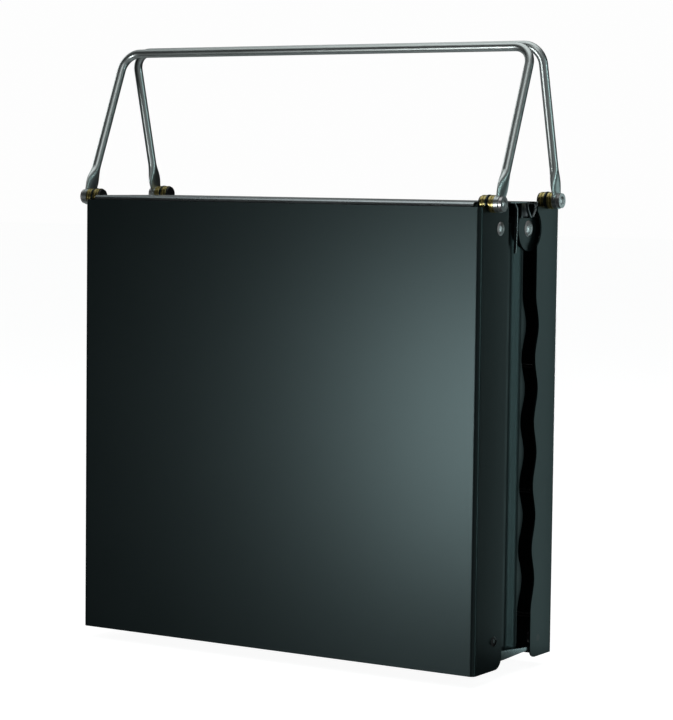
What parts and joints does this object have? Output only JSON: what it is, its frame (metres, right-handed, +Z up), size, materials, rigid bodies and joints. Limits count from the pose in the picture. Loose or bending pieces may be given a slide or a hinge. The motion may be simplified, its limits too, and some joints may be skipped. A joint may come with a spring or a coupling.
{
  "type": "folding case barbecue",
  "caption": "Folding case barbecue: two sheet steel shells on a hinge spine hold a fire pan, a grate and a lid, and two wire bail handles carry it.",
  "frame": {"origin": "centre of the closed case footprint on the surface it stands on", "axes": "+X along the width of the case, +Y from the near shell to the far shell, +Z up"},
  "size_m": [0.3696, 0.119, 0.4484],
  "materials": {
    "black_coat": "satin fine texture powder coat",
    "black_hardware": "black oxide",
    "black_enamel": "gloss enamel",
    "stainless": "fine brushed",
    "rivet_steel": "bright",
    "brass": "plain"
  },
  "bodies": {
    "spine": {"hinge_bracket_left": "stainless", "hinge_bracket_right": "stainless", "spine_floor": "stainless"},
    "near_shell_unit": {"ear_rivet_left": "rivet_steel", "ear_rivet_right": "rivet_steel", "fire_pan": "black_coat", "lid_clip_left": "stainless", "lid_clip_right": "stainless", "near_hinge_screw_left": "black_hardware", "near_hinge_screw_right": "black_hardware", "near_inner_bush_left": "brass", "near_inner_bush_right": "brass", "near_lock_disc_left": "black_hardware", "near_lock_disc_right": "black_hardware", "near_outer_bush_left": "brass", "near_outer_bush_right": "brass", "near_pivot_collar_left": "black_hardware", "near_pivot_collar_right": "black_hardware", "near_pivot_rivet_left": "rivet_steel", "near_pivot_rivet_right": "rivet_steel", "near_shell": "black_coat", "pan_ear_left": "black_coat", "pan_ear_right": "black_coat", "pan_rivet_left": "rivet_steel", "pan_rivet_right": "rivet_steel", "pan_spacer_left": "black_coat", "pan_spacer_right": "black_coat"},
    "far_shell_unit": {"far_hinge_rivet_left": "black_hardware", "far_hinge_rivet_right": "black_hardware", "far_inner_bush_left": "brass", "far_inner_bush_right": "brass", "far_lock_disc_left": "black_hardware", "far_lock_disc_right": "black_hardware", "far_outer_bush_left": "brass", "far_outer_bush_right": "brass", "far_pivot_collar_left": "black_hardware", "far_pivot_collar_right": "black_hardware", "far_pivot_rivet_left": "rivet_steel", "far_pivot_rivet_right": "rivet_steel", "far_shell": "black_coat", "grate_guide_left": "black_coat", "grate_guide_right": "black_coat", "grate_rest": "black_coat"},
    "near_bail": {"near_handle": "stainless"},
    "far_bail": {"far_handle": "stainless"},
    "lid": {"lid_cover": "stainless", "lid_lug_left": "stainless", "lid_lug_right": "stainless", "lid_rib": "stainless"},
    "grate": {"cooking_grate": "black_enamel"}
  },
  "joints": [
    {"name": "near_shell_fold", "type": "hinge", "parent": "spine", "child": "near_shell_unit", "pos_m": [0, -0.0305, 0.021], "axis": [1, 0, 0], "range_deg": [0, 90]},
    {"name": "far_shell_fold", "type": "hinge", "parent": "spine", "child": "far_shell_unit", "pos_m": [0, 0.038, 0.0135], "axis": [-1, 0, 0], "range_deg": [0, 90]},
    {"name": "near_handle_swing", "type": "hinge", "parent": "near_shell_unit", "child": "near_bail", "pos_m": [0, -0.0462, 0.3322], "axis": [1, 0, 0], "range_deg": [0, 193]},
    {"name": "far_handle_swing", "type": "hinge", "parent": "far_shell_unit", "child": "far_bail", "pos_m": [0, 0.0422, 0.3343], "axis": [-1, 0, 0], "range_deg": [0, 183]},
    {"name": "lid_swing", "type": "hinge", "parent": "near_shell_unit", "child": "lid", "pos_m": [0, 0.02, 0.314], "axis": [-1, 0, 0], "range_deg": [0, 90]},
    {"name": "grate_slide", "type": "slide", "parent": "far_shell_unit", "child": "grate", "axis": [0, 0, 1], "range_m": [0, 0.28]}
  ]
}
